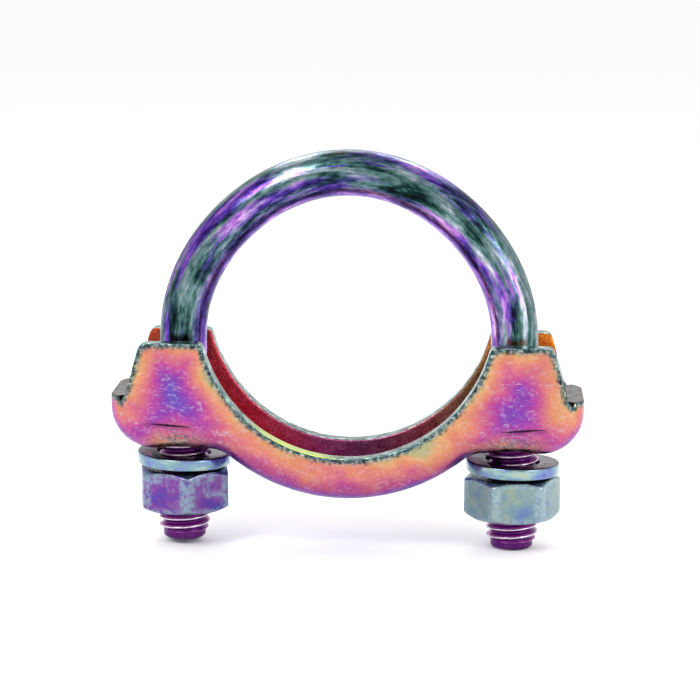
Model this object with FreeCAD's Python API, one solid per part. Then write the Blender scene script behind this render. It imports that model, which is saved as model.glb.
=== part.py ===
import FreeCAD, Part
import math
import os

"""Pipe clamp for a 41.3 mm (1 5/8 in) tube: a threaded U-bolt, a pressed saddle, two spring
washers and two hexagon nuts, M8 x 1.25.

All sizes are in millimetres. The origin is the centre of the bow, on the axis of the clamped
pipe. The pipe runs along Y, the legs point down along -Z, and X goes from the left leg to the
right leg. Each piece is one solid, written to parts/NAME.step.
"""

# ---- Pipe -----------------------------------------------------------------------------------
PIPE_DIAMETER = 41.3         # outside diameter of the clamped tube
BOW_CLEARANCE = 1.7          # clear width between the legs less the pipe's diameter
CRADLE_CLEARANCE = 1.35      # radius of the saddle's cradle less the pipe's radius
CLOSED_BY = 4.5              # unused clamp: cradle bottom stands this far inside the bow's circle

# ---- U-bolt -------------------------------------------------------------------------------
BAR_DIAMETER = 7.1           # round bar, also the pitch diameter of the thread rolled on it
LEFT_LEG_BELOW_SEAT = 14.8   # from the saddle's washer seat down to the end of the leg
RIGHT_LEG_BELOW_SEAT = 15.5
THREAD_LENGTH = 26.0         # threaded length of each leg
LEG_POINT_LENGTH = 1.1       # unthreaded point at the end of the leg
LEG_POINT_CHAMFER = 0.4

# ---- Thread, M8 x 1.25 right hand ---------------------------------------------------------
THREAD_PITCH = 1.25
THREAD_HALF_ANGLE = 30.0     # angle of each flank to a plane across the axis
THREAD_CREST_HEIGHT = 0.375  # crest outside the pitch cylinder
THREAD_ROOT_DEPTH = 0.315    # root inside the pitch cylinder
NUT_THREAD_PLAY = 0.24       # nut pitch diameter less bolt pitch diameter
NUT_CREST_PLAY = 0.14        # gap between the bolt's root and the nut's bore, on the radius
NUT_ROOT_PLAY = 0.125        # gap between the bolt's crest and the nut's root, on the radius

# ---- Saddle, a pressed channel open towards the pipe ----------------------------------------
SADDLE_WIDTH = 16.5          # over the outer faces of the two flanges
SHEET_THICKNESS = 2.7
BEND_RADIUS = 4.0            # outer radius between the web and the flanges
WEB_DEPTH = 6.75             # from the cradle's bottom down to the belly's underside
BELLY_STEP = 6.0             # belly's underside radius less the cradle's radius
SEAT_RISE = 7.35             # washer seat above the belly's underside
SEAT_BLEND_RADIUS = 4.5      # from the washer seat into the belly
CURL_RADIUS = 6.5            # outer radius of the curl at each end of the web
TIP_OVERHANG = 10.45         # from the leg's axis to the outer face of the curled-up tip
TIP_RISE = 8.4               # cut end of the tip above the washer seat
FLANGE_TOP_Z = 0.2
FLANGE_OVERHANG = 5.65       # from the leg's axis to the outer corner of the flange's top
FLANGE_CORNER_RADIUS = 1.3
CRADLE_CORNER_RADIUS = 1.0
FLANGE_FOOT_SETBACK = 2.6    # lower end of the sloping flange end, inside the tip's outer face
FLANGE_FOOT_RISE = 0.5       # and above the tip's cut end
NOTCH_SETBACK = 1.8          # bottom of the notch between flange end and tip
NOTCH_DEPTH = 0.7
NOTCH_TIP_SETBACK = 1.4      # where the notch meets the tip's cut end
LEG_HOLE_CLEARANCE = 1.15    # hole diameter less the thread's outer diameter
SEAT_RECESS_WIDTH = 6.2      # shallow groove pressed across the web at each hole
SEAT_RECESS_DEPTH = 0.7

# ---- Spring washer --------------------------------------------------------------------------
WASHER_BORE_CLEARANCE = 0.35 # bore less the thread's outer diameter
WASHER_SECTION_WIDTH = 3.0
WASHER_THICKNESS = 1.75
WASHER_END_OFFSET = 1.0      # height between the two cut ends
WASHER_GAP_ANGLE = 8.0       # opening at the cut, at the back
WASHER_SEAT_CLEARANCE = 0.05 # to the top of the nut

# ---- Hexagon nut ----------------------------------------------------------------------------
NUT_ACROSS_FLATS = 13.0
NUT_HEIGHT = 6.4
NUT_CORNER_RADIUS = 0.9
NUT_FACE_SETBACK = 0.5       # across flats less the round face left by the chamfer
NUT_CHAMFER_ANGLE = 30.0
NUT_COUNTERSINK = 0.65       # countersink's diameter less the thread's outer diameter
LEFT_NUT_DROP = 3.7          # top of the nut below the washer seat
RIGHT_NUT_DROP = 4.25
LEFT_NUT_TURN = 40.0         # angle of one corner from +X
RIGHT_NUT_TURN = 6.5

# ---- Sizes that follow from the ones above --------------------------------------------------
BAR_RADIUS = BAR_DIAMETER / 2
BOW_INNER_RADIUS = (PIPE_DIAMETER + BOW_CLEARANCE) / 2
BOW_RADIUS = BOW_INNER_RADIUS + BAR_RADIUS
LEG_X = BOW_RADIUS
THREAD_TAPER = math.tan(math.radians(THREAD_HALF_ANGLE))
CREST_RADIUS = BAR_RADIUS + THREAD_CREST_HEIGHT
ROOT_RADIUS = BAR_RADIUS - THREAD_ROOT_DEPTH
NUT_BORE_RADIUS = ROOT_RADIUS + NUT_CREST_PLAY
NUT_ROOT_RADIUS = CREST_RADIUS + NUT_ROOT_PLAY
CRADLE_RADIUS = PIPE_DIAMETER / 2 + CRADLE_CLEARANCE
CRADLE_BOTTOM_Z = CLOSED_BY - BOW_INNER_RADIUS
BELLY_RADIUS = CRADLE_RADIUS + BELLY_STEP
BELLY_BOTTOM_Z = CRADLE_BOTTOM_Z - WEB_DEPTH
SEAT_Z = BELLY_BOTTOM_Z + SEAT_RISE
TIP_X = LEG_X + TIP_OVERHANG
TIP_TOP_Z = SEAT_Z + TIP_RISE
LEG_HOLE_RADIUS = CREST_RADIUS + LEG_HOLE_CLEARANCE / 2
LEFT_LEG_LENGTH = LEFT_LEG_BELOW_SEAT - SEAT_Z
RIGHT_LEG_LENGTH = RIGHT_LEG_BELOW_SEAT - SEAT_Z
LEFT_NUT_TOP_Z = SEAT_Z - LEFT_NUT_DROP
RIGHT_NUT_TOP_Z = SEAT_Z - RIGHT_NUT_DROP
OVERLAP = 0.2                # how far a fused or cutting shape reaches into its neighbour
RIDGE_BITE = 0.14            # how far the thread's ridge reaches into the core it is fused to
REACH = 10.0                 # how far a cutting shape passes beyond the piece it cuts
FUSE_TOLERANCE = 1e-4        # for joining helical faces to round ones

Z_AXIS = FreeCAD.Vector(0, 0, 1)


def vec(x, y, z):
    return FreeCAD.Vector(x, y, z)


def turned(points):
    """Solid of revolution about the Z axis; points are (radius, z)."""
    corners = [vec(radius, 0, z) for radius, z in points]
    face = Part.Face(Part.makePolygon(corners + corners[:1]))
    return face.revolve(vec(0, 0, 0), Z_AXIS, 360)


def write(name, solid):
    solid.exportStep("parts/" + name + ".step")


# ---- Thread -----------------------------------------------------------------------------------
def thread_ridge(z_low, z_high, inner_radius, outer_radius, pitch_radius):
    """Helical ridge of a right-hand thread around the Z axis, between two heights.

    The ridge is half a pitch wide at pitch_radius and narrows outwards along its flanks. Its
    middle starts on the +X side at z_low.
    """
    def half_width(radius):
        return THREAD_PITCH / 4 - (radius - pitch_radius) * THREAD_TAPER

    inner = half_width(inner_radius)
    outer = half_width(outer_radius)
    corners = [vec(inner_radius, 0, -inner), vec(outer_radius, 0, -outer),
               vec(outer_radius, 0, outer), vec(inner_radius, 0, inner)]
    section = Part.makePolygon(corners + corners[:1])
    helix = Part.makeHelix(THREAD_PITCH, z_high - z_low, pitch_radius)
    ridge = Part.Wire(helix.Edges).makePipeShell([section], True, True)
    ridge.translate(vec(0, 0, z_low))
    return ridge


def thread_blank():
    """Outline that the threaded length is trimmed to: chamfered point, then full thread with a
    45 degree run-in below and run-out above, where only the core goes on into the plain bar.
    """
    core = ROOT_RADIUS
    full = CREST_RADIUS + OVERLAP
    ramp = full - core
    return turned([(0, 0),
                   (core - LEG_POINT_CHAMFER, 0),
                   (core, LEG_POINT_CHAMFER),
                   (core, LEG_POINT_LENGTH),
                   (full, LEG_POINT_LENGTH + ramp),
                   (full, THREAD_LENGTH - ramp),
                   (core, THREAD_LENGTH),
                   (core, THREAD_LENGTH + OVERLAP),
                   (0, THREAD_LENGTH + OVERLAP)])


def threaded_rod():
    """Threaded length of a leg, its end on z = 0 and a thread crest at +X on that height."""
    low = -THREAD_PITCH
    high = THREAD_LENGTH + THREAD_PITCH
    core = Part.makeCylinder(ROOT_RADIUS, high - low, vec(0, 0, low))
    ridge = thread_ridge(low, high, ROOT_RADIUS - RIDGE_BITE, CREST_RADIUS, BAR_RADIUS)
    return core.fuse([ridge], FUSE_TOLERANCE).common(thread_blank())


def threaded_leg(x, leg_length):
    """Straight leg below the bow: plain bar above, rolled thread below."""
    rod = threaded_rod()
    rod.translate(vec(x, 0, -leg_length))
    plain_length = leg_length - THREAD_LENGTH
    plain = Part.makeCylinder(BAR_RADIUS, plain_length, vec(x, 0, -plain_length))
    return rod.fuse(plain)


# ---- U-bolt -----------------------------------------------------------------------------------
def u_bolt():
    """Half ring of round bar carried on into two threaded legs."""
    section = Part.Face(Part.Wire(Part.makeCircle(BAR_RADIUS, vec(BOW_RADIUS, 0, 0), Z_AXIS)))
    bow = section.revolve(vec(0, 0, 0), vec(0, -1, 0), 180)
    left = threaded_leg(-LEG_X, LEFT_LEG_LENGTH)
    right = threaded_leg(LEG_X, RIGHT_LEG_LENGTH)
    return bow.fuse([left, right]).removeSplitter()


# ---- Saddle -----------------------------------------------------------------------------------
def arc(centre_x, centre_z, radius, start, end):
    """Arc in the XZ plane; angles in degrees from +X towards +Z."""
    points = []
    for angle in (start, (start + end) / 2, end):
        turn = math.radians(angle)
        points.append(vec(centre_x + radius * math.cos(turn), 0,
                          centre_z + radius * math.sin(turn)))
    return Part.Arc(*points).toShape()


def web_side(inset, top_z):
    """Right half of the web's line, set into the sheet by inset: belly, seat, curl, tip."""
    belly_z = BELLY_BOTTOM_Z + BELLY_RADIUS
    blend_z = SEAT_Z - SEAT_BLEND_RADIUS
    reach = BELLY_RADIUS + SEAT_BLEND_RADIUS
    blend_x = math.sqrt(reach ** 2 - (belly_z - blend_z) ** 2)
    meet = math.degrees(math.atan2(blend_z - belly_z, blend_x))
    curl_x = TIP_X - CURL_RADIUS
    curl_z = SEAT_Z + CURL_RADIUS
    seat_z = SEAT_Z + inset
    tip_x = TIP_X - inset
    return [arc(0, belly_z, BELLY_RADIUS - inset, -90, meet),
            arc(blend_x, blend_z, SEAT_BLEND_RADIUS + inset, 180 + meet, 90),
            Part.makeLine(vec(blend_x, 0, seat_z), vec(curl_x, 0, seat_z)),
            arc(curl_x, curl_z, CURL_RADIUS - inset, -90, 0),
            Part.makeLine(vec(tip_x, 0, curl_z), vec(tip_x, 0, top_z))]


def channel_block(inset, top_z):
    """Block under the web's line, with both long edges and the tips' edges rounded."""
    half_width = SADDLE_WIDTH / 2 - inset
    right = web_side(inset, top_z)
    left = [edge.mirror(vec(0, 0, 0), vec(1, 0, 0)) for edge in right]
    tip_x = TIP_X - inset
    lid = Part.makeLine(vec(-tip_x, 0, top_z), vec(tip_x, 0, top_z))
    line = Part.Wire(Part.__sortEdges__(left + right))
    outline = Part.Wire(Part.__sortEdges__(left + right + [lid]))
    outline.translate(vec(0, -half_width, 0))
    block = Part.Face(outline).extrude(vec(0, 2 * half_width, 0))
    long_edges = []
    for edge in block.Edges:
        middle = edge.valueAt((edge.FirstParameter + edge.LastParameter) / 2)
        on_face = abs(abs(middle.y) - half_width) < 1e-6
        flat = Part.Vertex(middle.x, 0, middle.z)
        if on_face and line.distToShape(flat)[0] < 1e-6:
            long_edges.append(edge)
    return block.makeFillet(BEND_RADIUS - inset, long_edges)


def flange_prism():
    """Outline of the flanges and tips seen along the pipe, run across the whole width."""
    cradle_z = CRADLE_BOTTOM_Z + CRADLE_RADIUS
    rise = FLANGE_TOP_Z - cradle_z
    cradle_x = math.sqrt(CRADLE_RADIUS ** 2 - rise ** 2)
    top_x = LEG_X + FLANGE_OVERHANG
    side = [(cradle_x, FLANGE_TOP_Z),
            (top_x, FLANGE_TOP_Z),
            (TIP_X - FLANGE_FOOT_SETBACK, TIP_TOP_Z + FLANGE_FOOT_RISE),
            (TIP_X - NOTCH_SETBACK, TIP_TOP_Z - NOTCH_DEPTH),
            (TIP_X - NOTCH_TIP_SETBACK, TIP_TOP_Z),
            (TIP_X + REACH, TIP_TOP_Z),
            (TIP_X + REACH, BELLY_BOTTOM_Z - REACH)]
    right = [vec(x, 0, z) for x, z in side]
    left = [vec(-x, 0, z) for x, z in reversed(side)]
    path = Part.makePolygon(right + left)
    end_angle = math.degrees(math.atan2(rise, cradle_x))
    cradle = arc(0, cradle_z, CRADLE_RADIUS, -180 - end_angle, end_angle)
    outline = Part.Wire(Part.__sortEdges__(path.Edges + [cradle]))
    outline.translate(vec(0, -SADDLE_WIDTH, 0))
    prism = Part.Face(outline).extrude(vec(0, 2 * SADDLE_WIDTH, 0))
    prism = round_corner(prism, top_x, FLANGE_TOP_Z, FLANGE_CORNER_RADIUS)
    return round_corner(prism, cradle_x, FLANGE_TOP_Z, CRADLE_CORNER_RADIUS)


def round_corner(prism, x, z, radius):
    """Round the two edges along Y that pass through (x, z) and (-x, z)."""
    corners = []
    for edge in prism.Edges:
        middle = edge.valueAt((edge.FirstParameter + edge.LastParameter) / 2)
        if abs(abs(middle.x) - x) < 1e-6 and abs(middle.z - z) < 1e-6:
            corners.append(edge)
    return prism.makeFillet(radius, corners)


def recess_bar(x, extra):
    """Round bar along Y whose top presses the recess into the web at a leg hole."""
    half = SEAT_RECESS_WIDTH / 2
    radius = (half ** 2 + SEAT_RECESS_DEPTH ** 2) / (2 * SEAT_RECESS_DEPTH)
    centre_z = SEAT_Z + SEAT_RECESS_DEPTH - radius
    return Part.makeCylinder(radius + extra, 2 * SADDLE_WIDTH,
                             vec(x, -SADDLE_WIDTH, centre_z), vec(0, 1, 0))


def saddle():
    """Pressed channel: rounded outside, sheet-thick walls, cut to outline, then holed."""
    top_z = FLANGE_TOP_Z + REACH
    outside = channel_block(0, top_z)
    inside = channel_block(SHEET_THICKNESS, top_z + OVERLAP)
    for x in (-LEG_X, LEG_X):
        outside = outside.cut(recess_bar(x, 0))
        inside = inside.cut(recess_bar(x, SHEET_THICKNESS))
    shell = outside.cut(inside).common(flange_prism())
    for x in (-LEG_X, LEG_X):
        shell = shell.cut(Part.makeCylinder(LEG_HOLE_RADIUS, 2 * REACH,
                                            vec(x, 0, SEAT_Z - REACH)))
    return shell


# ---- Spring washers ---------------------------------------------------------------------------
def spring_washer(x, nut_top_z):
    """One left-hand coil of flat section, cut at the back, standing on the nut."""
    inner = CREST_RADIUS + WASHER_BORE_CLEARANCE / 2
    outer = inner + WASHER_SECTION_WIDTH
    half = WASHER_THICKNESS / 2
    corners = [vec(inner, 0, -half), vec(outer, 0, -half), vec(outer, 0, half), vec(inner, 0, half)]
    section = Part.makePolygon(corners + corners[:1])
    turn = (360 - WASHER_GAP_ANGLE) / 360
    helix = Part.makeHelix(WASHER_END_OFFSET / turn, WASHER_END_OFFSET, (inner + outer) / 2, 0, True)
    coil = Part.Wire(helix.Edges).makePipeShell([section], True, True)
    coil.rotate(vec(0, 0, 0), Z_AXIS, 90 - WASHER_GAP_ANGLE / 2)
    coil.translate(vec(x, 0, nut_top_z + WASHER_SEAT_CLEARANCE + half))
    return coil


# ---- Nuts -------------------------------------------------------------------------------------
def hexagon(turn):
    """Hexagon bar with rounded corners standing on z = 0; turn is the angle of one corner."""
    corner = NUT_ACROSS_FLATS / math.sqrt(3)
    points = []
    for step in range(6):
        angle = math.radians(turn + 60 * step)
        points.append(vec(corner * math.cos(angle), corner * math.sin(angle), 0))
    bar = Part.Face(Part.makePolygon(points + points[:1])).extrude(vec(0, 0, NUT_HEIGHT))
    uprights = [edge for edge in bar.Edges
                if abs(edge.Vertexes[0].Z - edge.Vertexes[1].Z) > NUT_HEIGHT / 2]
    return bar.makeFillet(NUT_CORNER_RADIUS, uprights)


def nut(x, top_z, turn, leg_length):
    """Hexagon nut, chamfered on both faces, with a thread in step with its leg.

    It is made standing on z = 0 with its thread starting at +X, then turned about its axis by
    the angle that brings the thread into step with the crest at the leg's end.
    """
    height = NUT_HEIGHT
    step_angle = 360 * (top_z - height + leg_length) / THREAD_PITCH
    face = (NUT_ACROSS_FLATS - NUT_FACE_SETBACK) / 2
    wide = NUT_ACROSS_FLATS / math.sqrt(3) + OVERLAP
    drop = (wide - face) * math.tan(math.radians(NUT_CHAMFER_ANGLE))
    body = hexagon(turn - step_angle)
    body = body.common(turned([(0, 0), (face, 0), (wide, drop), (wide, height - drop),
                               (face, height), (0, height)]))
    sink = CREST_RADIUS + NUT_COUNTERSINK / 2
    body = body.cut(Part.makeCylinder(NUT_BORE_RADIUS, height + 2 * REACH, vec(0, 0, -REACH)))
    body = body.cut(turned([(0, 0), (sink, 0), (0, sink)]))
    body = body.cut(turned([(0, height), (0, height - sink), (sink, height)]))
    groove = thread_ridge(-THREAD_PITCH, height + THREAD_PITCH, NUT_BORE_RADIUS - OVERLAP,
                          NUT_ROOT_RADIUS, BAR_RADIUS + NUT_THREAD_PLAY / 2)
    body = body.cut([groove], FUSE_TOLERANCE)
    body.rotate(vec(0, 0, 0), Z_AXIS, step_angle)
    body.translate(vec(x, 0, top_z - height))
    return body


def build():
    os.makedirs("parts", exist_ok=True)
    write("u_bolt", u_bolt())
    write("saddle", saddle())
    write("left_spring_washer", spring_washer(-LEG_X, LEFT_NUT_TOP_Z))
    write("right_spring_washer", spring_washer(LEG_X, RIGHT_NUT_TOP_Z))
    write("left_nut", nut(-LEG_X, LEFT_NUT_TOP_Z, LEFT_NUT_TURN, LEFT_LEG_LENGTH))
    write("right_nut", nut(LEG_X, RIGHT_NUT_TOP_Z, RIGHT_NUT_TURN, RIGHT_LEG_LENGTH))


build()
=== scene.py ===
import math

import bmesh
import bpy
import numpy as np
from mathutils import Matrix, Vector


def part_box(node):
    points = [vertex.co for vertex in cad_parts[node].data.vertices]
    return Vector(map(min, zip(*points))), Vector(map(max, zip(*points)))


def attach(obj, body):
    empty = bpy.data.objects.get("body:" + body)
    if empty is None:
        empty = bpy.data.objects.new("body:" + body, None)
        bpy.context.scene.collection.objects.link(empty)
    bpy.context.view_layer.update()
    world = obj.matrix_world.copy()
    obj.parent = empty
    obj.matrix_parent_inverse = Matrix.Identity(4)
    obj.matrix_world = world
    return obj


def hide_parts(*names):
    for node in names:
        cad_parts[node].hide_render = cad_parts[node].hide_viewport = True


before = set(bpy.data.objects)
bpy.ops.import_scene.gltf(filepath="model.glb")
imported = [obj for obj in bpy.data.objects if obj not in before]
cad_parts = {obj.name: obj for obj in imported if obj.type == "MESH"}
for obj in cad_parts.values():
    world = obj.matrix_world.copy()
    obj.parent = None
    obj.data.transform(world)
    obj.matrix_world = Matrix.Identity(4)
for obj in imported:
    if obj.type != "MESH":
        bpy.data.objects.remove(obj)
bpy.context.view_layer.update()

# A zinc plated, yellow chromated pipe clamp: threaded U-bolt, pressed saddle, two spring washers
# and two hexagon nuts. Shapes are worked out in millimetres and written to meshes in metres.
MM = 0.001


def corners(node):
    """Lowest and highest corner of a CAD node, in millimetres."""
    low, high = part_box(node)
    return np.array(low) / MM, np.array(high) / MM


# ---- Places from the frame -----------------------------------------------------------------------
bolt_low, bolt_high = corners("u_bolt")
saddle_low, saddle_high = corners("saddle")
left_nut_low, left_nut_high = corners("left_nut")
right_nut_low, right_nut_high = corners("right_nut")
left_washer_low, left_washer_high = corners("left_spring_washer")
right_washer_low, right_washer_high = corners("right_spring_washer")

LEG_X = (right_washer_low[0] + right_washer_high[0]) / 2
BAR_RADIUS = bolt_high[2] - LEG_X
RIGHT_LEG_END = bolt_low[2]
LEG_DIFFERENCE = 0.7     # the left leg is shorter by this much
LEFT_LEG_END = RIGHT_LEG_END + LEG_DIFFERENCE
BOW_POINTING = 0.4       # how far the bow's circle is drawn in at 45 and 135 degrees
BOW_FLATTENING = 0.02    # share by which bending has flattened the bar at the top

# ---- Thread, M8 x 1.25 right hand ----------------------------------------------------------------
PITCH = 1.25
FLANK = math.tan(math.radians(30))
CREST_RADIUS = BAR_RADIUS + 0.375
ROOT_RADIUS = BAR_RADIUS - 0.315
THREAD_LENGTH = 26.0
POINT_LENGTH = 1.1
POINT_CHAMFER = 0.4

# ---- Saddle --------------------------------------------------------------------------------------
SHEET = 2.7
BEND_RADIUS = 4.0
HALF_WIDTH = saddle_high[1]
TIP_X = saddle_high[0]
FLANGE_TOP = saddle_high[2]
BELLY_BOTTOM = saddle_low[2]
SEAT = BELLY_BOTTOM + 7.35
BELLY_RADIUS = 28.0
BLEND_RADIUS = 4.5
CURL_RADIUS = 6.5
TIP_TOP = SEAT + 8.4
CRADLE_RADIUS = 22.0
CRADLE_BOTTOM = BELLY_BOTTOM + 6.75
TOP_CORNER_X = LEG_X + 5.65
NOTCH_START = 1.4
NOTCH_FOOT = 1.8
FOOT_SETBACK = 2.6
HOLE_RADIUS = 4.5
CREASE_Z = SEAT + BEND_RADIUS + 0.15
CREASE_SLOPE = 0.08
CREASE_SHIFT = 1.3
GROOVE_HALF_WIDTH = 3.1  # groove pressed across the web at each hole
GROOVE_DEPTH = 0.7
NOTCH_DEPTH = 0.7
FOOT_RISE = 0.5          # foot of the flange's sloping end above the tip's cut edge

# ---- Nuts and washers ----------------------------------------------------------------------------
ACROSS_FLATS = 13.0
NUT_CORNER_RADIUS = 0.9
NUT_FACE_RADIUS = 6.25
NUT_BORE_RADIUS = 3.375
NUT_ROOT_RADIUS = 4.05
NUT_PITCH_RADIUS = BAR_RADIUS + 0.12
NUT_SINK_RADIUS = 4.25
LEFT_NUT_CORNER = 40.0
RIGHT_NUT_CORNER = 6.5
WASHER_INNER = 4.1
WASHER_OUTER = 7.1
WASHER_THICKNESS = 1.75
WASHER_END_OFFSET = 1.0
WASHER_GAP = math.radians(8)


# ---- Meshes --------------------------------------------------------------------------------------
def grid_faces(rows, columns, wrap_rows=False, wrap_columns=False):
    """Quads between neighbouring points of a grid; a wrapped side joins back to its start."""
    index = np.arange(rows * columns).reshape(rows, columns)
    if wrap_rows:
        index = np.vstack([index, index[:1]])
    if wrap_columns:
        index = np.hstack([index, index[:, :1]])
    quads = [index[:-1, :-1], index[:-1, 1:], index[1:, 1:], index[1:, :-1]]
    return np.stack(quads, axis=-1).reshape(-1, 4)


def end_fan(ring, centre, forward):
    """Triangles from the points of a ring to one centre point."""
    after = np.roll(ring, -1)
    pair = [ring, after] if forward else [after, ring]
    return np.stack(pair + [np.full(len(ring), centre)], axis=-1)


def tube_faces(rows, columns, flipped=False):
    """Quads of a tube and a fan over each end; the two fan centres follow the tube's points."""
    total = rows * columns
    walls = grid_faces(rows, columns, wrap_columns=True)
    return [walls[:, ::-1] if flipped else walls,
            end_fan(np.arange(columns), total, flipped),
            end_fan(np.arange(total - columns, total), total + 1, not flipped)]


def piece(name, points, faces, attributes=None):
    """Smooth mesh object from points in millimetres, with one float or vector per point."""
    mesh = bpy.data.meshes.new(name)
    mesh.from_pydata((points * MM).tolist(), [], [f for block in faces for f in block.tolist()])
    for key, values in (attributes or {}).items():
        vector = values.ndim == 2
        layer = mesh.attributes.new(key, "FLOAT_VECTOR" if vector else "FLOAT", "POINT")
        layer.data.foreach_set("vector" if vector else "value", values.astype(np.float32).ravel())
    mesh.shade_smooth()
    made = bpy.data.objects.new(name, mesh)
    bpy.context.scene.collection.objects.link(made)
    return made


def merge_points(made, distance):
    """Joins points that lie on one another."""
    work = bmesh.new()
    work.from_mesh(made.data)
    bmesh.ops.remove_doubles(work, verts=work.verts, dist=distance * MM)
    work.to_mesh(made.data)
    work.free()
    made.data.shade_smooth()


def weigh_rim(made, fade_places):
    """Full rounding along the open edges, fading out over the last millimetres to each place."""
    mesh = made.data
    pairs = np.empty(len(mesh.edges) * 2, np.int32)
    mesh.edges.foreach_get("vertices", pairs)
    used = np.empty(len(mesh.loops), np.int32)
    mesh.loops.foreach_get("edge_index", used)
    place = np.empty(len(mesh.vertices) * 3)
    mesh.vertices.foreach_get("co", place)
    middle = place.reshape(-1, 3)[pairs.reshape(-1, 2)].mean(axis=1) / MM
    apart = np.linalg.norm(middle[:, None] - np.array(fade_places)[None], axis=2).min(axis=1)
    is_open = np.bincount(used, minlength=len(mesh.edges)) == 1
    weight = np.where(is_open, np.clip((apart - 1.0) / 2.0, 0, 1), 0)
    layer = mesh.attributes.new("bevel_weight_edge", "FLOAT", "EDGE")
    layer.data.foreach_set("value", weight.astype(np.float32))


def soften(made, width, angle=None):
    """Rounds the sharp edges, or the weighted ones, and evens the shading beside them."""
    bevel = made.modifiers.new("worn_edges", "BEVEL")
    bevel.width = width * MM
    bevel.segments = 2
    bevel.limit_method = "ANGLE" if angle else "WEIGHT"
    bevel.angle_limit = math.radians(angle or 30)
    bevel.use_clamp_overlap = False
    made.modifiers.new("even_shading", "WEIGHTED_NORMAL").keep_sharp = True


def waves(points, size, seed):
    """Smooth random field between about -1 and 1: a sum of sine waves in random directions."""
    draw = np.random.default_rng(seed)
    total = np.zeros(points.shape[:-1])
    for _ in range(9):
        direction = draw.normal(size=3)
        direction /= np.linalg.norm(direction)
        length = size * draw.uniform(0.6, 1.6)
        total += np.sin(points @ direction * 2 * math.pi / length + draw.uniform(0, 2 * math.pi))
    return total / 4


# ---- U-bolt --------------------------------------------------------------------------------------
def ridge_distance(height, angle):
    """Distance along the leg to the nearest crest of a right-hand helix through +X at height 0."""
    turns = height / PITCH - angle / (2 * math.pi)
    return np.abs((turns + 0.5) % 1 - 0.5) * PITCH


def soft_clip(values, low, high, soft):
    """Values held between low and high, with the corners rounded over the distance soft."""
    def smooth_max(a, b):
        return 0.5 * (a + b + np.sqrt((a - b) ** 2 + soft ** 2))

    return -smooth_max(-smooth_max(values, low), -high)


def leg_radius(height, angle):
    """Radius of a leg at a height above its end: point, rolled thread, plain bar.

    The thread is the pitch cylinder plus the distance to the flank over the tangent of 30
    degrees, held between root and crest, and capped by a 45 degree cone at either end.
    """
    flank = BAR_RADIUS + (PITCH / 4 - ridge_distance(height, angle)) / FLANK
    radius = soft_clip(flank, ROOT_RADIUS, CREST_RADIUS, 0.05)
    run_in = ROOT_RADIUS + np.maximum(height - POINT_LENGTH, 0)
    run_out = ROOT_RADIUS + np.maximum(THREAD_LENGTH - height, 0)
    radius = np.minimum(np.minimum(radius, run_in), run_out)
    radius = np.minimum(radius, ROOT_RADIUS - POINT_CHAMFER + height)
    plain = np.clip((height - THREAD_LENGTH) / 0.4, 0, 1)
    return radius * (1 - plain) + BAR_RADIUS * plain


def make_u_bolt():
    """Bar carried up the left leg, round the bow and down the right leg.

    A point is the path's centre plus its radius along (outward, Y) at the angle around.
    """
    around = np.linspace(0, 2 * math.pi, 72, endpoint=False)
    threaded = np.arange(0, THREAD_LENGTH + 0.5, 0.075)

    def leg_heights(end):
        plain = np.linspace(THREAD_LENGTH + 0.6, -end, 8)
        return np.concatenate([threaded, plain])

    left = leg_heights(LEFT_LEG_END)
    right = leg_heights(RIGHT_LEG_END)[::-1]
    bend = np.linspace(math.pi, 0, 122)[1:-1]

    left_rings = leg_radius(left[:, None], math.pi - around[None, :])
    right_rings = leg_radius(right[:, None], around[None, :])
    bow_rings = np.full((len(bend), len(around)), BAR_RADIUS)
    rings = np.vstack([left_rings, bow_rings, right_rings])

    angle = np.concatenate([np.full(len(left), math.pi), bend, np.zeros(len(right))])
    outward = np.stack([np.cos(angle), 0 * angle, np.sin(angle)], axis=-1)
    drop = np.concatenate([left + LEFT_LEG_END, 0 * bend, right + RIGHT_LEG_END])
    centre = outward * LEG_X + np.stack([0 * drop, 0 * drop, drop], axis=-1)
    lift = np.sin(angle) ** 2
    centre = centre - outward * (BOW_POINTING * np.sin(2 * angle) ** 2)[:, None]

    squeeze = 1 - BOW_FLATTENING * lift[:, None]
    x_part = rings * np.cos(around)[None, :] * squeeze
    y_part = rings * np.sin(around)[None, :] * (2 - squeeze)
    points = centre[:, None, :] + outward[:, None, :] * x_part[..., None]
    points[..., 1] += y_part

    travel = np.concatenate([[0], np.cumsum(np.linalg.norm(np.diff(centre, axis=0), axis=1))])
    flow = np.stack([np.broadcast_to(travel[:, None], x_part.shape), x_part, y_part], axis=-1)
    crest = (rings - ROOT_RADIUS) / (CREST_RADIUS - ROOT_RADIUS)
    is_thread = np.concatenate([left < THREAD_LENGTH, np.zeros(len(bend), bool), right < THREAD_LENGTH])
    crest = np.where(is_thread[:, None], crest, -1)

    rows, columns = x_part.shape
    flat = points.reshape(-1, 3)
    ends = np.stack([centre[0], centre[-1]])
    faces = tube_faces(rows, columns, flipped=True)
    end_flow = np.array([[travel[0], 0, 0], [travel[-1], 0, 0]])
    made = piece("threaded_bow", np.vstack([flat, ends]), faces,
                 {"flow": np.vstack([flow.reshape(-1, 3), end_flow]),
                  "crest": np.concatenate([crest.ravel(), [0, 0]])})
    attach(made, "u_bolt")
    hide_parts("u_bolt")
    return made


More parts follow.
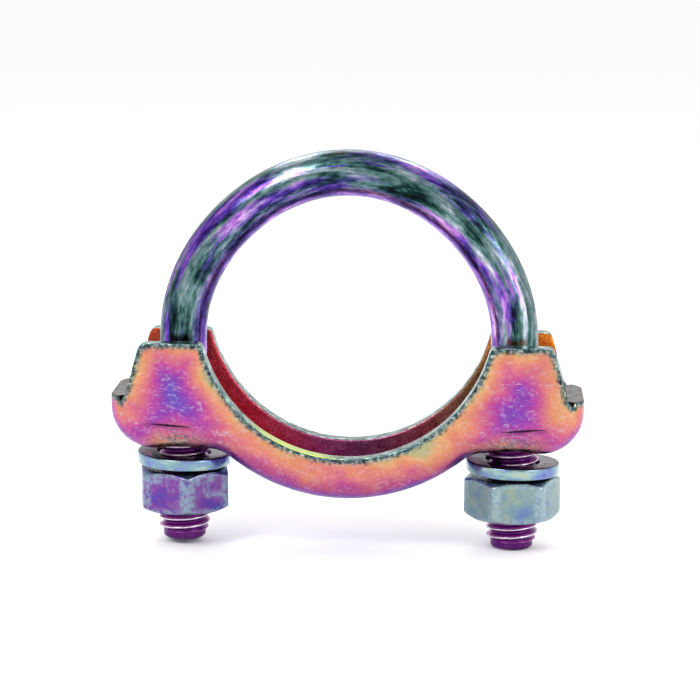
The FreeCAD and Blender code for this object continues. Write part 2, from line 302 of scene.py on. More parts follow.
# ---- Nuts ----------------------------------------------------------------------------------------
def hexagon_radius(angle, corner_angle):
    """Distance from the axis to a hexagon's side, with its six corners rounded to an arc."""
    apothem = ACROSS_FLATS / 2
    inside = apothem - NUT_CORNER_RADIUS
    off = (angle - math.radians(corner_angle) + math.pi / 6) % (math.pi / 3) - math.pi / 6
    flat = apothem / np.cos(math.pi / 6 - np.abs(off))
    reach = inside / math.cos(math.pi / 6)
    arc = reach * np.cos(off) + np.sqrt(np.maximum(NUT_CORNER_RADIUS ** 2
                                                   - (reach * np.sin(off)) ** 2, 0))
    tangent = math.pi / 6 - math.atan(inside * math.tan(math.pi / 6) / apothem)
    return np.where(np.abs(off) < tangent, arc, flat)


def make_nut(name, body, node, x, low, high, corner_angle, leg_end):
    """Closed ring of stations around a nut: bottom face, chamfer, flats, chamfer, top face, bore.

    The chamfer is a 30 degree cone from the round face; it meets each side of the hexagon at
    the height where the cone is as wide as the hexagon.
    """
    around = np.linspace(0, 2 * math.pi, 192, endpoint=False)
    side = hexagon_radius(around, corner_angle)
    height = high - low
    depth = (side - NUT_FACE_RADIUS) * FLANK
    one = np.ones_like(around)
    stations = []

    def chamfer(share, from_top):
        radius = NUT_FACE_RADIUS + (side - NUT_FACE_RADIUS) * share
        level = depth * share
        stations.append((radius, high - level if from_top else low + level))

    for radius in np.linspace(NUT_SINK_RADIUS, NUT_FACE_RADIUS, 6):
        stations.append((radius * one, low * one))
    for share in (0.25, 0.5, 0.75, 1.0):
        chamfer(share, False)
    for share in np.linspace(0, 1, 14)[1:-1]:
        stations.append((side, low + depth + (height - 2 * depth) * share))
    for share in (1.0, 0.75, 0.5, 0.25):
        chamfer(share, True)
    for radius in np.linspace(NUT_FACE_RADIUS, NUT_SINK_RADIUS, 6):
        stations.append((radius * one, high * one))
    for level in np.linspace(high, low, 62)[1:-1]:
        apart = ridge_distance(level - leg_end, around)
        groove = NUT_PITCH_RADIUS + (PITCH / 4 - apart) / FLANK
        wall = soft_clip(groove, NUT_BORE_RADIUS, NUT_ROOT_RADIUS, 0.05)
        sink = NUT_SINK_RADIUS - min(level - low, high - level)
        stations.append((np.maximum(wall, sink), level * one))

    radius = np.array([station[0] for station in stations])
    level = np.array([station[1] for station in stations])
    points = np.stack([x + radius * np.cos(around), radius * np.sin(around), level], axis=-1)
    rows, columns = radius.shape
    edge = np.minimum(side - side.min(), 1.0)
    made = piece(name, points.reshape(-1, 3),
                 [grid_faces(rows, columns, wrap_rows=True, wrap_columns=True)],
                 {"corner": np.tile(edge, rows),
                  "shelf": np.minimum(level - low, high - level).ravel()})
    soften(made, 0.14, 20)
    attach(made, body)
    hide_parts(node)
    return made


# ---- Spring washers ------------------------------------------------------------------------------
def make_washer(name, body, node, x, low):
    """Rounded rectangle section carried round one left-hand turn and closed at both cut ends."""
    half = WASHER_THICKNESS / 2
    width = (WASHER_OUTER - WASHER_INNER) / 2
    middle = (WASHER_OUTER + WASHER_INNER) / 2
    spin = np.linspace(0, 2 * math.pi, 40, endpoint=False) + 0.01
    power = 0.22  # below 1 this squares up an ellipse
    section_r = width * np.sign(np.cos(spin)) * np.abs(np.cos(spin)) ** power
    section_z = half * np.sign(np.sin(spin)) * np.abs(np.sin(spin)) ** power
    share = np.linspace(0, 1, 150)
    angle = math.pi / 2 - WASHER_GAP / 2 - share * (2 * math.pi - WASHER_GAP)
    rise = low + half + share * WASHER_END_OFFSET
    radius = middle + section_r[None, :]
    points = np.stack([x + radius * np.cos(angle)[:, None],
                       radius * np.sin(angle)[:, None],
                       rise[:, None] + section_z[None, :] + 0 * radius], axis=-1)
    flat = points.reshape(-1, 3)
    rows, columns = points.shape[:2]
    centres = np.stack([points[0].mean(axis=0), points[-1].mean(axis=0)])
    faces = tube_faces(rows, columns)
    # Top face and bore of the washer, which the finish darkens with painted shade.
    shaded = ((section_z > 0.9 * half) | (section_r < -0.9 * width)).astype(float)
    made = piece(name, np.vstack([flat, centres]), faces,
                 {"shaded": np.concatenate([np.tile(shaded, rows), [0, 0]])})
    soften(made, 0.1, 50)
    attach(made, body)
    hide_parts(node)
    return made


# ---- Saddle --------------------------------------------------------------------------------------
BELLY_Z = BELLY_BOTTOM + BELLY_RADIUS
BLEND_Z = SEAT - BLEND_RADIUS
BLEND_X = math.sqrt((BELLY_RADIUS + BLEND_RADIUS) ** 2 - (BELLY_Z - BLEND_Z) ** 2)
MEET = math.atan2(BLEND_Z - BELLY_Z, BLEND_X)
CURL_X = TIP_X - CURL_RADIUS
CURL_Z = SEAT + CURL_RADIUS
BELLY_END = BELLY_RADIUS * (MEET + math.pi / 2)
SEAT_START = BELLY_END + BLEND_RADIUS * (math.pi / 2 + MEET)
SEAT_END = SEAT_START + CURL_X - BLEND_X
CURL_END = SEAT_END + CURL_RADIUS * math.pi / 2
WEB_END = CURL_END + TIP_TOP - CURL_Z


def web_line(travel):
    """Underside of the web at a distance from the middle: (x, z) and the inward normal (x, z).

    Five stretches in a row: belly arc, reverse arc, flat washer seat, curl arc, upright tip.
    """
    side = np.sign(travel) + (travel == 0)
    run = np.abs(travel)
    belly = -math.pi / 2 + run / BELLY_RADIUS
    blend = math.pi + MEET - (run - BELLY_END) / BLEND_RADIUS
    curl = -math.pi / 2 + (run - SEAT_END) / CURL_RADIUS
    stretches = [run < BELLY_END, run < SEAT_START, run < SEAT_END, run < CURL_END]
    x = np.select(stretches, [BELLY_RADIUS * np.cos(belly),
                              BLEND_X + BLEND_RADIUS * np.cos(blend),
                              BLEND_X + run - SEAT_START,
                              CURL_X + CURL_RADIUS * np.cos(curl)], TIP_X)
    z = np.select(stretches, [BELLY_Z + BELLY_RADIUS * np.sin(belly),
                              BLEND_Z + BLEND_RADIUS * np.sin(blend),
                              SEAT + 0 * run,
                              CURL_Z + CURL_RADIUS * np.sin(curl)], CURL_Z + run - CURL_END)
    normal_x = np.select(stretches, [-np.cos(belly), np.cos(blend), 0 * run, -np.cos(curl)], -1.0)
    normal_z = np.select(stretches, [-np.sin(belly), np.sin(blend), 1 + 0 * run, -np.sin(curl)], 0.0)
    return side * x, z, side * normal_x, normal_z


def tip_height(setback):
    """Height of the cut edge near a tip, from the distance inside the tip's outer face."""
    slope_top = TIP_X - TOP_CORNER_X
    return np.interp(setback, [0, NOTCH_START, NOTCH_FOOT, FOOT_SETBACK, slope_top],
                     [TIP_TOP, TIP_TOP, TIP_TOP - NOTCH_DEPTH, TIP_TOP + FOOT_RISE, FLANGE_TOP])


def rounded(start, corner, end, count):
    """Curve that leaves start towards corner and arrives at end from it."""
    t = np.linspace(0, 1, count)[:, None]
    return (1 - t) ** 2 * start + 2 * t * (1 - t) * corner + t ** 2 * end


def flange_edge():
    """Right half of the flange's upper edge: cradle arc, corner, top, corner, sloping end."""
    cradle_z = CRADLE_BOTTOM + CRADLE_RADIUS
    end = math.asin((FLANGE_TOP - cradle_z) / CRADLE_RADIUS)
    corner = np.array([CRADLE_RADIUS * math.cos(end), FLANGE_TOP])
    swing = np.linspace(-math.pi / 2, end - 0.8 / CRADLE_RADIUS, 160)
    cradle = np.stack([CRADLE_RADIUS * np.cos(swing), cradle_z + CRADLE_RADIUS * np.sin(swing)], -1)
    outer = np.array([TOP_CORNER_X, FLANGE_TOP])
    stop = np.array([TIP_X - BEND_RADIUS, tip_height(BEND_RADIUS)])
    down = (stop - outer) / np.linalg.norm(stop - outer)
    first = rounded(cradle[-1], corner, corner + [0.8, 0], 9)
    second = rounded(outer - [1.0, 0], outer, outer + down, 9)
    top = np.linspace(first[-1], second[0], 40)[1:-1]
    foot = np.linspace(second[-1], stop, 12)[1:]
    return np.vstack([cradle[:-1], first, top, second, foot])


def make_saddle():
    """Outer skin of the pressed channel as one grid, given the sheet's thickness inwards.

    Columns run along the web's line. Rows run across: front flange from its cut edge down,
    bend, web, bend, back flange. A web or bend point is the web's line moved along its inward
    normal by the bend's depth; a flange point lies between the bend's end and the cut edge.
    """
    spacing = 0.36
    columns = 2 * int(WEB_END / spacing) + 1
    travel = np.linspace(-WEB_END, WEB_END, columns)
    for leg in (-1, 1):
        hole = leg * (SEAT_START + LEG_X - BLEND_X)
        nearest = np.argmin(np.abs(travel - hole))
        shift = hole - travel[nearest]
        travel = travel + shift * np.exp(-((travel - hole) / 6.0) ** 4)

    flat = HALF_WIDTH - BEND_RADIUS
    notch = [math.acos(1 - depth / BEND_RADIUS) for depth in (NOTCH_START, NOTCH_FOOT, FOOT_SETBACK)]
    bend = np.interp(np.arange(21), [0, 11, 13, 16, 20], [0, *notch, math.pi / 2])
    web_y = np.linspace(-flat, flat, 25)
    side_y = flat + BEND_RADIUS * np.sin(bend[1:])
    depth_side = BEND_RADIUS * (1 - np.cos(bend[1:]))
    row_y = np.concatenate([-side_y[::-1], web_y, side_y])
    row_depth = np.concatenate([depth_side[::-1], 0 * web_y, depth_side])
    row_across = np.concatenate([-flat - BEND_RADIUS * bend[:0:-1], web_y,
                                 flat + BEND_RADIUS * bend[1:]])

    across = np.broadcast_to(row_across[:, None], (len(row_across), columns)).copy()
    along = np.broadcast_to(travel[None, :], across.shape).copy()
    gone = np.zeros(across.shape, bool)
    hole_square, outer_square = 3.2, 8.0  # half widths between which squares turn into the round hole
    for leg in (-1, 1):
        hole = leg * (SEAT_START + LEG_X - BLEND_X)
        du = along - hole
        square = np.maximum(np.abs(du), np.abs(across))
        reach = np.hypot(du, across) + 1e-9
        share = np.clip((square - hole_square) / (outer_square - hole_square), 0, 1)
        plain_reach = outer_square * reach / (square + 1e-9)
        scale = (HOLE_RADIUS + share * (plain_reach - HOLE_RADIUS)) / reach
        near = square < outer_square
        gone |= square < hole_square - spacing / 2
        du = np.where(near, du * scale, du)
        across = np.where(near, across * scale, across)
        along = np.where(near, hole + du, along)

    depth = np.where(np.abs(across) > flat,
                     BEND_RADIUS * (1 - np.cos((np.abs(across) - flat) / BEND_RADIUS)), 0.0)
    y = np.where(np.abs(across) > flat,
                 np.sign(across) * (flat + BEND_RADIUS * np.sin((np.abs(across) - flat) / BEND_RADIUS)),
                 across)
    end = CURL_END + tip_height(depth) - CURL_Z
    over = np.maximum(np.abs(along) - SEAT_END, 0)
    run = np.minimum(np.abs(along), SEAT_END) + over * (end - SEAT_END) / (WEB_END - SEAT_END)
    x, z, normal_x, normal_z = web_line(np.sign(along) * run)
    web = np.stack([x + normal_x * depth, y, z + normal_z * depth], axis=-1)

    edge = flange_edge()
    length = np.concatenate([[0], np.cumsum(np.linalg.norm(np.diff(edge, axis=0), axis=1))])
    total = length[-1]
    # Places along the web and the places along the flange's edge that stand above them.
    pairs_travel = [0, BELLY_END, SEAT_START, SEAT_START + 3.2, SEAT_END, SEAT_END + 5.0, WEB_END]
    pairs_edge = [0, 13.4, 25.0, 31.3, 37.2, total - 2.9, total]
    where = np.interp(np.abs(travel), pairs_travel, pairs_edge)
    top_x = np.sign(travel) * np.interp(where, length, edge[:, 0])
    top_z = np.interp(where, length, edge[:, 1])
    shares = np.concatenate([[1], np.linspace(0.87, 0.10, 18), [0.08, 0.06, 0.045, 0.03, 0.015]])
    blocks = []
    for row, order in ((0, shares), (-1, shares[::-1])):
        foot = web[row]
        rim = np.stack([top_x, foot[:, 1], top_z], axis=-1)
        blocks.append(foot[None] + order[:, None, None] * (rim - foot)[None])
    points = np.vstack([blocks[0], web, blocks[1]])
    lost = np.vstack([np.zeros(blocks[0].shape[:2], bool), gone, np.zeros(blocks[1].shape[:2], bool)])

    rows = len(points)
    points = press_marks(points)
    faces = grid_faces(rows, columns)[:, ::-1]
    faces = faces[~lost.ravel()[faces].any(axis=1)]
    used, faces = np.unique(faces, return_inverse=True)
    faces = faces.reshape(-1, 4)
    points_flat = points.reshape(-1, 3)[used]
    rim = cut_distance(points_flat, faces)
    made = piece("pressed_saddle", points_flat, [faces],
                 {"rim": rim, "film": film_thickness(points_flat, rim),
                  "rubbed": rubbed(points_flat)})
    merge_points(made, 0.03)
    foot = TIP_X - BEND_RADIUS
    level = tip_height(BEND_RADIUS)
    weigh_rim(made, [(x, y, level) for x in (-foot, foot) for y in (-HALF_WIDTH, HALF_WIDTH)])
    thicken = made.modifiers.new("sheet", "SOLIDIFY")
    thicken.thickness = SHEET * MM
    thicken.offset = -1
    thicken.material_offset = 1
    thicken.material_offset_rim = 2
    soften(made, 0.22)
    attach(made, "saddle")
    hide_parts("saddle")
    return made


def press_marks(points):
    """Groove across the web at each hole, crease at the bend beside it, and slight hollows."""
    radius = (GROOVE_HALF_WIDTH ** 2 + GROOVE_DEPTH ** 2) / (2 * GROOVE_DEPTH)
    x, y, z = points[..., 0], points[..., 1], points[..., 2]
    for leg in (-LEG_X, LEG_X):
        inside = np.maximum(radius ** 2 - (x - leg) ** 2, 0)
        arch = SEAT + GROOVE_DEPTH - radius + np.sqrt(inside)
        near = np.abs(x - leg) < GROOVE_HALF_WIDTH
        z = np.where(near & (z < arch), arch, z)
    on_flange = np.clip((np.abs(y) - HALF_WIDTH + 0.6) / 0.6, 0, 1)
    beside = np.abs(x) - LEG_X - CREASE_SHIFT
    line = CREASE_Z + CREASE_SLOPE * beside
    window = np.exp(-(beside / 4.2) ** 6)
    crease = 0.20 * np.exp(-((z - line) / 0.35) ** 2) * window
    hollow = 0.07 * waves(points, 13.0, 4) * on_flange
    y = y - np.sign(y) * (crease + hollow + 0.07 * on_flange)
    return np.stack([x, y, z], axis=-1)


def film_thickness(points, rim):
    """Chromate film from thin (0) to thick (1): thin at the cut edges, thickest in the middle of
    the flanges and under the web, and uneven where the bath drained off.
    """
    under = np.clip((HALF_WIDTH - np.abs(points[:, 1])) / BEND_RADIUS, 0, 1)
    ear = np.exp(-((np.abs(points[:, 0]) - LEG_X + 1) / 5.5) ** 4)
    upper = np.clip((points[:, 2] + 13.0) / 3.0, 0, 1)
    film = 0.06 + 0.098 * np.minimum(rim, 6.5) + 0.12 * ear * upper * np.clip(rim - 1.5, 0, 2) / 2
    film = film + 0.35 * under - 0.12 * np.exp(-((under - 0.2) / 0.15) ** 2)
    film = film + 0.10 * waves(points, 10.0, 11) + 0.06 * waves(points, 4.5, 12)
    return film + 0.05 * (points[:, 0] < 0)


def rubbed(points):
    """Film rubbed thin beside the leg holes, where the press formed the seat, from 0 to 1."""
    x = (np.abs(points[:, 0]) - LEG_X) / 3.6
    z = (points[:, 2] - SEAT - 1.6) / 1.7
    return np.exp(-x ** 2 - z ** 2)


def cut_distance(points, faces):
    """Distance of every point from the nearest open edge of the grid."""
    edges = np.sort(np.vstack([faces[:, [0, 1]], faces[:, [1, 2]], faces[:, [2, 3]], faces[:, [3, 0]]]))
    found, count = np.unique(edges, axis=0, return_counts=True)
    rim = points[np.unique(found[count == 1])]
    distance = np.full(len(points), 1e9)
    for start in range(0, len(rim), 64):
        part = rim[start:start + 64]
        apart = np.linalg.norm(points[:, None, :] - part[None], axis=2).min(axis=1)
        distance = np.minimum(distance, apart)
    return distance


# ---- Materials -----------------------------------------------------------------------------------
def colour(code):
    """Linear colour from an sRGB hex code."""
    values = [int(code[i:i + 2], 16) / 255 for i in (1, 3, 5)]
    linear = [v / 12.92 if v <= 0.04045 else ((v + 0.055) / 1.055) ** 2.4 for v in values]
    return (*linear, 1.0)


def add(tree, kind, inputs=None, stops=None, **settings):
    """Adds one node: settings are its properties, inputs its values or links by socket."""
    made = tree.nodes.new(kind)
    for key, value in settings.items():
        setattr(made, key, value)
    for socket, value in (inputs or {}).items():
        if isinstance(value, bpy.types.NodeSocket):
            tree.links.new(value, made.inputs[socket])
        else:
            made.inputs[socket].default_value = value
    if stops:
        band = made.color_ramp
        while len(band.elements) < len(stops):
            band.elements.new(0.5)
        for element, (place, code) in zip(band.elements, stops):
            element.position = place
            element.color = colour(code)
    return made


def millimetres(tree):
    """Object coordinates counted in millimetres."""
    place = add(tree, "ShaderNodeTexCoord").outputs["Object"]
    return add(tree, "ShaderNodeVectorMath", {0: place, "Scale": 1 / MM}, operation="SCALE").outputs[0]


def stretch(tree, vector, scale):
    """A vector multiplied part by part, so that a pattern runs long or short in each direction."""
    return add(tree, "ShaderNodeVectorMath", {0: vector, 1: scale}, operation="MULTIPLY").outputs[0]


def attribute(tree, name, vector=False):
    return add(tree, "ShaderNodeAttribute", attribute_name=name).outputs[1 if vector else 2]


def clouds(tree, vector, size, seed, detail=5.0, distortion=0.0):
    """Cloudy field from 0 to 1 whose blotches have a size in millimetres."""
    inputs = {"Vector": vector, "W": seed, "Scale": 1 / size, "Detail": detail, "Roughness": 0.6,
              "Distortion": distortion}
    return add(tree, "ShaderNodeTexNoise", inputs, noise_dimensions="4D").outputs[0]


def calc(tree, operation, a, b):
    return add(tree, "ShaderNodeMath", {0: a, 1: b}, operation=operation).outputs[0]


def scaled(tree, value, factor, offset):
    """A value times a factor, plus an offset."""
    return add(tree, "ShaderNodeMath", {0: value, 1: factor, 2: offset},
               operation="MULTIPLY_ADD").outputs[0]


def step(tree, value, low, high, start=0.0, end=1.0):
    """Smooth step from start, below low, to end, above high."""
    return add(tree, "ShaderNodeMapRange", {0: value, 1: low, 2: high, 3: start, 4: end},
               interpolation_type="SMOOTHSTEP").outputs[0]


def ramp(tree, factor, *stops):
    return add(tree, "ShaderNodeValToRGB", {0: factor}, stops).outputs[0]


def blend(tree, factor, a, b):
    return add(tree, "ShaderNodeMix", {0: factor, 6: a, 7: b}, data_type="RGBA").outputs[2]


def new_material(name):
    made = bpy.data.materials.new(name)
    made.use_nodes = True
    made.node_tree.nodes.clear()
    return made, made.node_tree


def finish_metal(tree, base, rough_low, rough_high, seed, grain, depth):
    """Plated metal: colour, cloudy roughness, fine pitting of a grain size and depth in mm."""
    place = millimetres(tree)
    polish = step(tree, clouds(tree, place, 1.6, seed), 0.35, 0.65, rough_low, rough_high)
    pits = clouds(tree, place, grain, seed + 1.0, 3.0)
    bump = add(tree, "ShaderNodeBump", {"Height": pits, "Strength": 0.6, "Distance": depth * MM})
    shader = add(tree, "ShaderNodeBsdfPrincipled", {"Base Color": base, "Metallic": 1.0,
                                                    "Roughness": polish, "Normal": bump.outputs[0]})
    add(tree, "ShaderNodeOutputMaterial", {"Surface": shader.outputs[0]})


def make_bar_finish():
    """Cold drawn bar under a heavy, uneven chromate: sea green and grey streaks lengthwise among
    near-black painted reflections and pale painted highlights, violet inside the bow, purple threads
    with pale rubbed crests.
    """
    made, tree = new_material("chromated_drawn_bar")
    flow = attribute(tree, "flow", True)
    crest = attribute(tree, "crest")
    streak = clouds(tree, stretch(tree, flow, (0.16, 0.8, 0.8)), 1.5, 3.0, 7.0, 0.4)
    fleck = clouds(tree, stretch(tree, flow, (0.3, 1.0, 1.0)), 0.45, 5.0, 4.0)
    mottle = scaled(tree, fleck, 0.35, -0.175)
    mixed = calc(tree, "ADD", streak, mottle)
    # Ramp stops: sea green and grey are the chromate; the near-black stops are painted dark reflection
    # and the palest stops painted highlight, here and in the violet ramp below.
    plain = ramp(tree, mixed, (0.33, "#0B1014"), (0.42, "#15302F"), (0.48, "#3B5C58"), (0.54, "#5B7A7C"),
                 (0.60, "#7F8F96"), (0.67, "#B9BEC8"), (0.78, "#E9E2EE"))
    tint = clouds(tree, stretch(tree, flow, (0.12, 1.0, 1.0)), 2.6, 9.0, 5.0)
    violet = ramp(tree, mixed, (0.36, "#160A2C"), (0.46, "#43208A"), (0.54, "#7B3CB8"), (0.62, "#B068C8"),
                  (0.72, "#D9B4E6"))
    outward = add(tree, "ShaderNodeSeparateXYZ", {0: flow}).outputs[1]
    inner_side = step(tree, outward, -3.0, -1.2, 1.0, 0.0)
    patch = step(tree, tint, 0.50, 0.60)
    share = calc(tree, "MAXIMUM", inner_side, patch)
    share = calc(tree, "MULTIPLY", share, 0.85)
    plain = blend(tree, share, plain, violet)
    groove = ramp(tree, calc(tree, "ADD", crest, mottle), (0.0, "#5A2268"), (0.3, "#8A4490"),
                  (0.6, "#A868A4"), (0.85, "#B490B8"), (1.0, "#E4D4E6"))
    is_thread = step(tree, crest, -0.5, -0.2)
    finish_metal(tree, blend(tree, is_thread, plain, groove), 0.16, 0.36, 21.0, 0.30, 0.03)
    return made


def make_sheet_finish():
    """Yellow chromate on pressed sheet: gold near the cut edges, then salmon, magenta and purple
    as the film thickens, sea-green grey where it is worn through at the rim with painted white
    highlights there, and a dark painted shade along each crease.
    """
    made, tree = new_material("chromated_pressed_sheet")
    place = millimetres(tree)
    cloud = clouds(tree, place, 5.0, 1.0, 6.0, 0.8)
    fine = clouds(tree, place, 0.7, 2.0, 4.0)
    film = scaled(tree, cloud, 0.5, attribute(tree, "film"))
    film = scaled(tree, fine, 0.16, film)
    film = calc(tree, "SUBTRACT", film, 0.33)
    base = ramp(tree, film, (0.02, "#A09A70"), (0.14, "#C69466"), (0.27, "#C67C62"), (0.40, "#BE6872"),
                (0.53, "#AE4C80"), (0.66, "#983E90"), (0.80, "#783A98"), (1.0, "#5A4AA4"))
    worn = clouds(tree, place, 0.55, 4.0, 5.0)
    # Worn rim: dark to sea-green grey is bare zinc; the palest stop is a painted highlight.
    bare_zinc_and_glints = ramp(tree, worn, (0.38, "#1B2A30"), (0.50, "#3C5A5C"), (0.60, "#76908C"), (0.72, "#DCE8DC"))
    reach = scaled(tree, worn, 1.6, attribute(tree, "rim"))
    base = blend(tree, step(tree, reach, 1.1, 2.0, 1.0, 0.0), base, bare_zinc_and_glints)
    scratch = clouds(tree, stretch(tree, place, (0.6, 1.0, 1.1)), 1.1, 6.0, 8.0, 2.6)
    base = blend(tree, step(tree, scratch, 0.50, 0.74, 0.0, 0.55), base, colour("#C4BCC8"))
    rub = calc(tree, "MULTIPLY", attribute(tree, "rubbed"), step(tree, fine, 0.35, 0.6))
    base = blend(tree, rub, base, ramp(tree, worn, (0.4, "#4A4450"), (0.6, "#A09A98")))
    # Dark line along the crease beside each hole, fading along it: painted shade in the fold.
    parts = add(tree, "ShaderNodeSeparateXYZ", {0: place}).outputs
    beside = calc(tree, "SUBTRACT", calc(tree, "ABSOLUTE", parts[0], 0.0), LEG_X + CREASE_SHIFT)
    line = scaled(tree, beside, CREASE_SLOPE, CREASE_Z)
    off_line = calc(tree, "ABSOLUTE", calc(tree, "SUBTRACT", parts[2], line), 0.0)
    off_end = calc(tree, "POWER", calc(tree, "DIVIDE", calc(tree, "ABSOLUTE", beside, 0.0), 4.6), 2.0)
    spread = scaled(tree, off_end, 0.30, off_line)
    spread = scaled(tree, fine, 0.16, spread)
    painted_crease_shade = step(tree, spread, 0.16, 0.36, 0.95, 0.0)
    base = blend(tree, painted_crease_shade, base, colour("#170D1E"))
    finish_metal(tree, base, 0.20, 0.40, 31.0, 0.35, 0.035)
    return made


def make_inner_finish():
    """Inside of the channel: grainy, thick film from red through purple to brown, darkened all
    over by a multiplied speckle that is grain and painted shade inside the channel.
    """
    made, tree = new_material("chromated_sheet_inside")
    place = millimetres(tree)
    across = add(tree, "ShaderNodeSeparateXYZ", {0: place}).outputs[0]
    wander = clouds(tree, place, 5.0, 7.0)
    across = scaled(tree, wander, 9.0, across)
    share = add(tree, "ShaderNodeMapRange", {0: across, 1: 4.5 - TIP_X, 2: 4.5 + TIP_X}).outputs[0]
    base = ramp(tree, share, (0.03, "#B0522E"), (0.14, "#C85A44"), (0.23, "#E25262"), (0.33, "#DA6C8C"),
                (0.45, "#BC70A6"), (0.54, "#A06C92"), (0.66, "#B87480"), (0.76, "#A08458"),
                (0.85, "#E8943A"), (0.95, "#FFA038"))
    grain = clouds(tree, place, 0.32, 8.0, 2.0)
    speck = ramp(tree, grain, (0.36, "#8A5A70"), (0.5, "#E0C8D0"), (0.66, "#FFFFFF"))
    # Multiplied speckle: grain, and painted shade over the whole inside of the channel.
    speckle_and_painted_shade = add(tree, "ShaderNodeMix", {0: 0.8, 6: base, 7: speck}, data_type="RGBA",
              blend_type="MULTIPLY").outputs[2]
    finish_metal(tree, speckle_and_painted_shade, 0.28, 0.45, 41.0, 0.30, 0.05)
    return made


def make_rim_finish():
    """Sheared edge of the sheet: bright, ribbed, sea-green grey, its palest patches painted
    highlights, with a painted gold-green highlight midway along the front.
    """
    made, tree = new_material("sheared_edge")
    place = millimetres(tree)
    worn = clouds(tree, stretch(tree, place, (0.7, 1.6, 0.7)), 0.8, 13.0, 6.0)
    # The palest stop of this ramp is a painted highlight.
    base = ramp(tree, worn, (0.38, "#18262A"), (0.48, "#48686A"), (0.56, "#86A09A"), (0.66, "#E8F0E0"))
    parts = add(tree, "ShaderNodeSeparateXYZ", {0: place}).outputs
    # Gold-green patch midway along the front rim: a painted highlight.
    middle = step(tree, calc(tree, "ABSOLUTE", calc(tree, "ADD", parts[0], 8.0), 0.0), 3.0, 8.0, 0.8, 0.0)
    front = step(tree, parts[1], -2.0, 0.0, 1.0, 0.0)
    base = blend(tree, calc(tree, "MULTIPLY", middle, front), base, colour("#CFE05A"))
    beyond = step(tree, calc(tree, "ABSOLUTE", parts[0], 0.0), LEG_X + 7.5, LEG_X + 8.3)
    tip = ramp(tree, worn, (0.4, "#120A0C"), (0.6, "#3E2A26"), (0.72, "#8A7A70"))
    base = blend(tree, beyond, base, tip)
    finish_metal(tree, base, 0.16, 0.34, 51.0, 0.25, 0.04)
    return made


def make_nut_finish(name, seed, worn_code, *stops):
    """Thin chromate on a forged nut: cloudy tints on the flats, silver where edges are rubbed."""
    made, tree = new_material(name)
    place = millimetres(tree)
    cloud = clouds(tree, place, 3.2, seed, 6.0, 0.6)
    fine = clouds(tree, place, 0.6, seed + 2.0, 4.0)
    mixed = scaled(tree, fine, 0.4, cloud)
    base = ramp(tree, calc(tree, "SUBTRACT", mixed, 0.2), *stops)
    corner = step(tree, attribute(tree, "corner"), 0.30, 0.62)
    shelf = step(tree, attribute(tree, "shelf"), 0.35, 1.15, 1.0, 0.0)
    edge = calc(tree, "MAXIMUM", calc(tree, "MULTIPLY", corner, 0.9), calc(tree, "MULTIPLY", shelf, 0.75))
    edge = calc(tree, "MULTIPLY", edge, step(tree, fine, 0.32, 0.58))
    # Flat faces and the chamfer next to them darkened: painted shade in the gap against the washer and
    # under the nut.
    face = step(tree, attribute(tree, "shelf"), 0.02, 0.12, 1.0, 0.0)
    base = blend(tree, edge, base, colour(worn_code))
    base = blend(tree, calc(tree, "MULTIPLY", face, 0.6), base, colour("#5E3A44"))
    finish_metal(tree, base, 0.18, 0.34, seed + 60.0, 0.4, 0.03)
    return made


def make_washer_finish():
    """Thin blue-silver film on spring steel, tinted sea green and violet, with painted shade on the
    top face under the saddle and in the bore.
    """
    made, tree = new_material("bright_spring_steel")
    place = millimetres(tree)
    cloud = clouds(tree, stretch(tree, place, (1.0, 1.0, 2.0)), 3.4, 71.0, 6.0, 0.5)
    base = ramp(tree, cloud, (0.32, "#5E68A8"), (0.42, "#7484B4"), (0.50, "#7898A0"), (0.58, "#94AEAC"),
                (0.68, "#A8AC88"))
    # Dark colours for the washer's top face and bore: painted shade under the saddle and in the hole.
    washer_painted_shade = ramp(tree, cloud, (0.35, "#12040E"), (0.6, "#3A1434"), (0.75, "#6A4A6C"))
    base = blend(tree, calc(tree, "MULTIPLY", attribute(tree, "shaded"), 0.9), base, washer_painted_shade)
    finish_metal(tree, base, 0.14, 0.30, 75.0, 0.35, 0.02)
    return made


# ---- Stage ---------------------------------------------------------------------------------------
def make_floor():
    """Pale square floor under the ends of the legs."""
    size, level = 4000.0, RIGHT_LEG_END - 0.02
    points = np.array([[-size, -size, level], [size, -size, level], [size, size, level],
                       [-size, size, level]])
    floor = piece("studio_floor", points, [np.array([[0, 1, 2, 3]])])
    made, tree = new_material("matt_white_card")
    shader = add(tree, "ShaderNodeBsdfPrincipled", {"Base Color": colour("#FAFAFA"), "Roughness": 0.9})
    add(tree, "ShaderNodeOutputMaterial", {"Surface": shader.outputs[0]})
    floor.data.materials.append(made)


def make_light(name, place, aim, size, power, code="#FFFFFF"):
    """Soft square light at a place in millimetres, turned towards an aim."""
    data = bpy.data.lights.new(name, "AREA")
    data.shape = "RECTANGLE"
    data.size, data.size_y = size[0] * MM, size[1] * MM
    data.energy = power
    data.color = colour(code)[:3]
    lamp = bpy.data.objects.new(name, data)
    bpy.context.scene.collection.objects.link(lamp)
    point_at(lamp, np.array(place) * MM, np.array(aim) * MM, 0)


def point_at(thing, place, aim, roll):
    thing.location = place
    turn = (Vector(aim) - Vector(place)).to_track_quat("-Z", "Y").to_matrix()
    thing.rotation_euler = (turn @ Matrix.Rotation(math.radians(roll), 3, "Z")).to_euler()


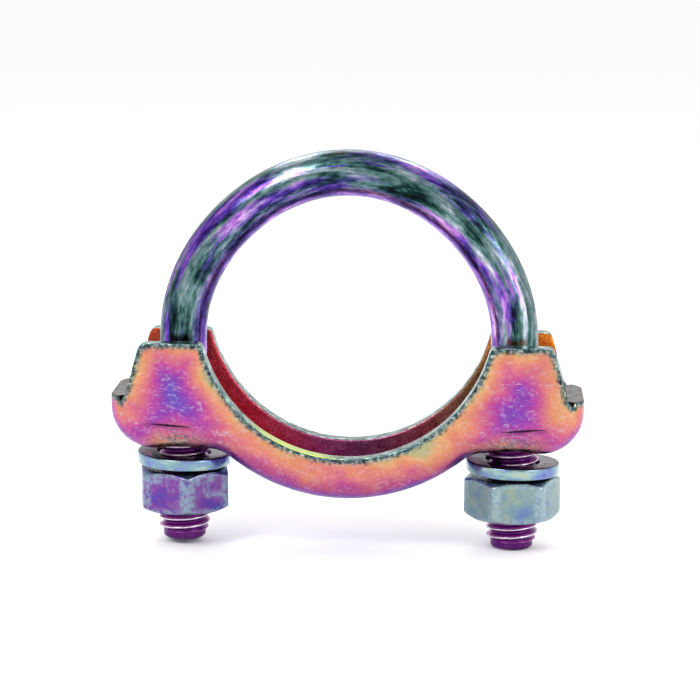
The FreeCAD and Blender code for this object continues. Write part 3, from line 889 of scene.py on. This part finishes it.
def make_camera():
    """Camera a little right of and above the clamp, looking along the pipe."""
    azimuth, elevation = math.radians(3.0), math.radians(10.5)
    distance, roll = 370.0, 0.3
    aim = np.array([0.23, 0.0, -1.86])
    towards = np.array([math.sin(azimuth) * math.cos(elevation),
                        -math.cos(azimuth) * math.cos(elevation), math.sin(elevation)])
    place = aim + distance * towards
    data = bpy.data.cameras.new("camera")
    data.sensor_width = 36.0
    data.lens = 125.9
    data.clip_start = 0.01
    camera = bpy.data.objects.new("camera", data)
    bpy.context.scene.collection.objects.link(camera)
    point_at(camera, place * MM, aim * MM, roll)
    bpy.context.scene.camera = camera


def make_world():
    world = bpy.data.worlds.new("studio")
    bpy.context.scene.world = world
    world.use_nodes = True
    tree = world.node_tree
    tree.nodes.clear()
    ground = add(tree, "ShaderNodeBackground", {"Color": colour("#FFFFFF"), "Strength": 1.0})
    add(tree, "ShaderNodeOutputWorld", {"Surface": ground.outputs[0]})


make_camera()
make_floor()
make_world()
make_light("key_softbox", (-250, -350, 420), (0, 0, 0), (260, 260), 1.6)
make_light("fill_softbox", (380, -250, 160), (0, 0, 0), (200, 300), 0.7)
make_light("rim_softbox", (0, 320, 300), (0, 0, 0), (400, 150), 0.8)

bow = make_u_bolt()
left_nut = make_nut("left_hexagon_nut", "left_nut", "left_nut", -LEG_X, left_nut_low[2],
                    left_nut_high[2], LEFT_NUT_CORNER, LEFT_LEG_END)
right_nut = make_nut("right_hexagon_nut", "right_nut", "right_nut", LEG_X, right_nut_low[2],
                     right_nut_high[2], RIGHT_NUT_CORNER, RIGHT_LEG_END)
left_washer = make_washer("left_lock_washer", "left_washer", "left_spring_washer", -LEG_X,
                          left_washer_low[2])
right_washer = make_washer("right_lock_washer", "right_washer", "right_spring_washer", LEG_X,
                           right_washer_low[2])
saddle = make_saddle()

bow.data.materials.append(make_bar_finish())
left_nut.data.materials.append(make_nut_finish(
    "violet_forged_nut", 81.0, "#7F93A4", (0.34, "#484690"), (0.43, "#5C3C92"), (0.50, "#76428A"),
    (0.57, "#725C94"), (0.66, "#8088A0")))
right_nut.data.materials.append(make_nut_finish(
    "silver_forged_nut", 91.0, "#8FA4AC", (0.30, "#6478A4"), (0.42, "#6E8898"), (0.54, "#7A9294"),
    (0.68, "#8E9A84"), (0.80, "#9C9684")))
washer_finish = make_washer_finish()
left_washer.data.materials.append(washer_finish)
right_washer.data.materials.append(washer_finish)
for finish in (make_sheet_finish(), make_inner_finish(), make_rim_finish()):
    saddle.data.materials.append(finish)
bpy.context.scene.view_settings.view_transform = "Standard"
